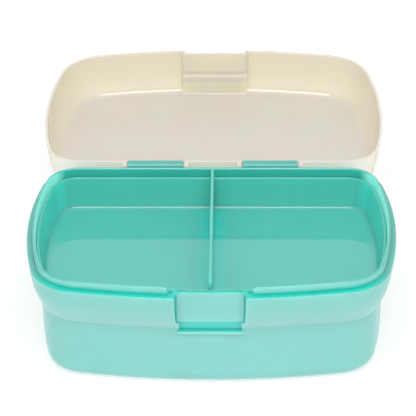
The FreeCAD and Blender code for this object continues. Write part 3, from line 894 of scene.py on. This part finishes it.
def swept_tray_tree():
    """A node tree that sweeps the tray's wall round a plan, closes its floor and adds the divider."""
    tree = bpy.data.node_groups.new("Swept tray", "GeometryNodeTree")
    tree.interface.new_socket(name="Plan", in_out="INPUT", socket_type="NodeSocketGeometry")
    for name in FRAME_LENGTHS + SECTION_LENGTHS:
        length = tree.interface.new_socket(name=name, in_out="INPUT", socket_type="NodeSocketFloat")
        length.subtype = "DISTANCE"
    for name, kind in (("Plan points", "Int"), ("Divider", "Object"), ("Plastic", "Material")):
        tree.interface.new_socket(name=name, in_out="INPUT", socket_type="NodeSocket" + kind)
    tree.interface.new_socket(name="Tray", in_out="OUTPUT", socket_type="NodeSocketGeometry")
    sizes = tree.nodes.new("NodeGroupInput").outputs
    leave = tree.nodes.new("NodeGroupOutput")
    plan = smooth_plan(tree, sizes["Plan"], sizes["Plan points"])
    section, end = tray_section(tree, sizes)
    plate = tray_plate(tree, plan, end)
    sweep = tree.nodes.new("GeometryNodeCurveToMesh")
    under = tree.nodes.new("GeometryNodeFlipFaces")
    shell = tree.nodes.new("GeometryNodeJoinGeometry")
    welded = tree.nodes.new("GeometryNodeMergeByDistance")
    welded.inputs["Distance"].default_value = WELD
    divider = tree.nodes.new("GeometryNodeObjectInfo")
    whole = tree.nodes.new("GeometryNodeJoinGeometry")
    smooth = tree.nodes.new("GeometryNodeSetShadeSmooth")
    real = tree.nodes.new("GeometryNodeRealizeInstances")
    painted = tree.nodes.new("GeometryNodeSetMaterial")
    join(
        tree,
        (plan, sweep.inputs["Curve"]),
        (section, sweep.inputs["Profile Curve"]),
        (plate, under.inputs["Mesh"]),
        (sweep.outputs["Mesh"], shell.inputs["Geometry"]),
        (moved_up(tree, plate, sizes["Floor"]), shell.inputs["Geometry"]),
        (under.outputs["Mesh"], shell.inputs["Geometry"]),
        (shell.outputs["Geometry"], welded.inputs["Geometry"]),
        (sizes["Divider"], divider.inputs["Object"]),
        (moved_up(tree, welded.outputs["Geometry"], sizes["Base height"]), whole.inputs["Geometry"]),
        (divider.outputs["Geometry"], whole.inputs["Geometry"]),
        (whole.outputs["Geometry"], smooth.inputs["Geometry"]),
        (smooth.outputs["Geometry"], real.inputs["Geometry"]),
        (real.outputs["Geometry"], painted.inputs["Geometry"]),
        (sizes["Plastic"], painted.inputs["Material"]),
        (painted.outputs["Geometry"], leave.inputs["Tray"]),
    )
    return tree


def swept(loop, tree, values):
    """The plain mesh that the tree makes from a loop, shaded by its large faces; the loop is removed."""
    modifier = loop.modifiers.new(tree.name, "NODES")
    modifier.node_group = tree
    for item in tree.interface.items_tree:
        if item.in_out == "INPUT" and item.name in values:
            modifier[item.identifier] = values[item.name]
    loop.modifiers.new("large faces", "WEIGHTED_NORMAL")
    seen = bpy.context.evaluated_depsgraph_get()
    mesh = bpy.data.meshes.new_from_object(loop.evaluated_get(seen), depsgraph=seen)
    bpy.data.objects.remove(loop)
    if not mesh.polygons:
        raise RuntimeError(f"{tree.name} made no faces")
    mesh.materials.clear()
    mesh.materials.append(values["Plastic"])
    mesh.polygons.foreach_set("material_index", [0] * len(mesh.polygons))
    return mesh


def divider_outline(tray, corners, rim):
    """Side view of the divider as (y, z) points, from its front foot over its top to its rear foot."""
    tall = [v for v in corners if v.z > rim + tray.divider_edge]
    front = min(v.y for v in tall)
    rear = max(v.y for v in tall)
    top = max(v.z for v in tall)
    low = min(v.z for v in corners) + tray.floor / 2
    turn = tray.divider_round
    outline = [(front + tray.taper, low), (front, rim)]
    for step in range(DIVIDER_ROUND_STEPS + 1):
        angle = math.pi / 2 * step / DIVIDER_ROUND_STEPS
        outline.append((front + turn * (1 - math.cos(angle)), top - turn * (1 - math.sin(angle))))
    return outline + [(rear, top), (rear, rim), (rear - tray.taper, low)]


def divider_object(tray, corners, rim):
    """The upright plate between the tray's front and rear walls, with rounded edges above the rim."""
    half = tray.divider_thickness / 2
    shape = bmesh.new()
    outline = divider_outline(tray, corners, rim)
    left, right = ([shape.verts.new((x, y, z)) for y, z in outline] for x in (-half, half))
    shape.faces.new(left)
    shape.faces.new(right)
    for k in range(len(outline)):
        after = (k + 1) % len(outline)
        shape.faces.new((left[k], right[k], right[after], left[after]))
    bmesh.ops.recalc_face_normals(shape, faces=shape.faces)
    lines = [e for e in shape.edges if e.verts[0].co.x * e.verts[1].co.x > 0]
    high = [e for e in lines if min(v.co.z for v in e.verts) > rim - WELD]
    bmesh.ops.bevel(
        shape, geom=high, offset=tray.divider_edge, segments=DIVIDER_EDGE_STEPS, profile=0.5, affect="EDGES"
    )
    mesh = bpy.data.meshes.new("tray divider")
    shape.to_mesh(mesh)
    shape.free()
    return placed("tray divider", mesh)


class LUNCHBOX_OT_tray(bpy.types.Operator):
    """Sweep the lift-out tray round its plan and finish it in polished plastic with painted light, shade and
    glow
    """

    bl_idname = "lunchbox.tray"
    bl_label = "Tray"

    def execute(self, context):
        sizes = context.scene.lunch_box_tray
        node = frame["nodes"]["divided_tray"]
        corners = [node.matrix_world @ v.co for v in node.data.vertices]
        low = min(v.z for v in corners)
        rim = LEDGE_HEIGHT - sizes.rim_drop
        divider = divider_object(sizes, corners, rim)
        values = {name: getattr(sizes, name.lower().replace(" ", "_")) for name in SECTION_LENGTHS}
        values |= dict(zip(FRAME_LENGTHS, (low, rim - low)))
        values["Plan points"] = sizes.plan_points
        values["Divider"] = divider
        values["Plastic"] = tray_plastic(context.scene.lunch_box_plastics)
        loop = loop_object("tray plan", plan_loop(corners, PLAN_SPACING))
        tray = placed("swept_tray", swept(loop, swept_tray_tree(), values))
        bpy.data.objects.remove(divider)
        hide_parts("divided_tray")
        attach(tray, "tray")
        return {"FINISHED"}


class LUNCHBOX_OT_lid(bpy.types.Operator):
    """Finish the lid in cream plastic that lets some light through, with painted light and shade"""

    bl_idname = "lunchbox.lid"
    bl_label = "Lid"

    def execute(self, context):
        plastics = context.scene.lunch_box_plastics
        panel = (shade(plastics.panel_colour_deep), shade(plastics.panel_colour_pale))
        patches = [
            # Own faint mottling on the flat top, and painted shade on the up-facing round and rim
            Patch(lid_level, panel, roughness=0.12),
            # Painted light on the lid's rear outside
            Patch(lid_rear, drift(plastics.rear_light_colour), roughness=0.06),
            # Matt rim and ears, with painted shade
            Patch(lid_edge, drift(plastics.edge_shade_colour), roughness=0.6),
            # Painted shade on the bay's shoulder
            Patch(bay_shoulder, drift(plastics.shoulder_shade_colour), roughness=0.3),
            # Painted light through the thin bay wall
            Patch(bay_wall, drift(plastics.bay_glow_colour), roughness=0.03),
        ]
        plastic = moulded_plastic(
            "lid plastic", plastics.lid_colour, CREAM_SPREAD,
            roughness=0.06, scatter=1.0, bump=0.01, patches=patches,
        )
        finish_node("lid", plastic)
        return {"FINISHED"}


class LUNCHBOX_OT_clip(bpy.types.Operator):
    """Finish the front clip in cream plastic"""

    bl_idname = "lunchbox.clip"
    bl_label = "Clip"

    def execute(self, context):
        colour = context.scene.lunch_box_plastics.clip_colour
        plastic = moulded_plastic("clip plastic", colour, CREAM_SPREAD, roughness=0.2, scatter=0.6, bump=0.2)
        finish_node("front_clip", plastic)
        return {"FINISHED"}


def seen_directly(tree):
    """1 for rays from the camera, a mirror or clear plastic, otherwise 0."""
    path = tree.nodes.new("ShaderNodeLightPath")
    seen = maths(tree, "MAXIMUM", path.outputs["Is Camera Ray"], path.outputs["Is Glossy Ray"])
    return maths(tree, "MAXIMUM", seen, path.outputs["Is Transmission Ray"])


def table_material(colour, glow):
    """A matt pale table, lit a little from below, that keeps the box's shadow."""
    material = bpy.data.materials.new("table")
    material.use_nodes = True
    shader = material.node_tree.nodes["Principled BSDF"]
    shader.inputs["Base Color"].default_value = shade(colour)
    shader.inputs["Roughness"].default_value = 1.0
    shader.inputs["Specular IOR Level"].default_value = 0.0
    shader.inputs["Emission Color"].default_value = (1, 1, 1, 1)
    shader.inputs["Emission Strength"].default_value = glow
    return material


def build_table(stage):
    """The pale table that the box stands on."""
    half = stage.table_size / 2
    floor = CAD_BOX[0][2]
    mesh = bpy.data.meshes.new("table")
    corners = [(-half, -half, floor), (half, -half, floor), (half, half, floor), (-half, half, floor)]
    mesh.from_pydata(corners, [], [(0, 1, 2, 3)])
    mesh.materials.append(table_material(stage.table_colour, stage.table_glow))
    table = placed("table", mesh)


def build_sky(stage):
    """Even light from all round, which is plain white where it is seen."""
    world = bpy.data.worlds.new("studio")
    bpy.context.scene.world = world
    world.use_nodes = True
    tree = world.node_tree
    background = tree.nodes["Background"]
    background.inputs["Color"].default_value = (1, 1, 1, 1)
    strength = remap(tree, seen_directly(tree), 0, 1, stage.sky_strength, 1.0)
    tree.links.new(strength, background.inputs["Strength"])


def build_key_light(stage):
    """The rectangular soft light above the front."""
    data = bpy.data.lights.new("key light", "AREA")
    data.shape = "RECTANGLE"
    data.size = KEY_WIDTH
    data.size_y = KEY_DEPTH
    data.energy = stage.key_power
    light = placed("key light", data)
    light.location = KEY_PLACE
    light.rotation_euler = (Vector(KEY_AIM) - Vector(KEY_PLACE)).to_track_quat("-Z", "Y").to_euler()


def build_camera(stage):
    """The camera at the photo's angle."""
    data = bpy.data.cameras.new("camera")
    data.sensor_fit = "HORIZONTAL"
    data.angle = stage.camera_view
    camera = placed("camera", data)
    level = math.cos(stage.camera_elevation) * stage.camera_distance
    rise = math.sin(stage.camera_elevation) * stage.camera_distance
    back = Vector((math.sin(stage.camera_azimuth) * level, -math.cos(stage.camera_azimuth) * level, rise))
    aim = (-back).to_track_quat("-Z", "Y").to_matrix().to_4x4()
    roll = Matrix.Rotation(-stage.camera_roll, 4, "Z")
    camera.matrix_world = Matrix.Translation(Vector(stage.camera_target) + back) @ aim @ roll
    bpy.context.scene.camera = camera


class LUNCHBOX_OT_stage(bpy.types.Operator):
    """Set the table, the soft light and the camera"""

    bl_idname = "lunchbox.stage"
    bl_label = "Stage"

    def execute(self, context):
        context.scene.view_settings.view_transform = "Standard"
        for build in (build_table, build_sky, build_key_light, build_camera):
            build(context.scene.lunch_box_stage)
        return {"FINISHED"}


class LUNCHBOX_PT_panel(bpy.types.Panel):
    """Lists the sizes and colours, and the steps that finish the lunch box"""

    bl_idname = "LUNCHBOX_PT_panel"
    bl_label = "Lunch box"
    bl_space_type = "VIEW_3D"
    bl_region_type = "UI"
    bl_category = "Lunch box"

    def draw(self, context):
        for name, kind in GROUPS.items():
            box = self.layout.box()
            for value in kind.__annotations__:
                box.prop(getattr(context.scene, name), value)
        for operator in OPERATORS:
            self.layout.operator(operator.bl_idname)


OPERATORS = (LUNCHBOX_OT_tub, LUNCHBOX_OT_tray, LUNCHBOX_OT_lid, LUNCHBOX_OT_clip, LUNCHBOX_OT_stage)
GROUPS = {
    "lunch_box_plastics": LunchBoxPlastics,
    "lunch_box_tray": LunchBoxTray,
    "lunch_box_stage": LunchBoxStage,
}


def register():
    for kind in (*GROUPS.values(), *OPERATORS, LUNCHBOX_PT_panel):
        bpy.utils.register_class(kind)
    for name, kind in GROUPS.items():
        setattr(bpy.types.Scene, name, bpy.props.PointerProperty(type=kind))


def unregister():
    for name in GROUPS:
        delattr(bpy.types.Scene, name)
    for kind in reversed((*GROUPS.values(), *OPERATORS, LUNCHBOX_PT_panel)):
        bpy.utils.unregister_class(kind)


def main():
    register()
    for old in STARTUP_OBJECTS:
        if old in bpy.data.objects:
            bpy.data.objects.remove(bpy.data.objects[old])
    bpy.ops.lunchbox.tub()
    bpy.ops.lunchbox.tray()
    bpy.ops.lunchbox.lid()
    bpy.ops.lunchbox.clip()
    bpy.ops.lunchbox.stage()


if __name__ == "__main__":
    main()
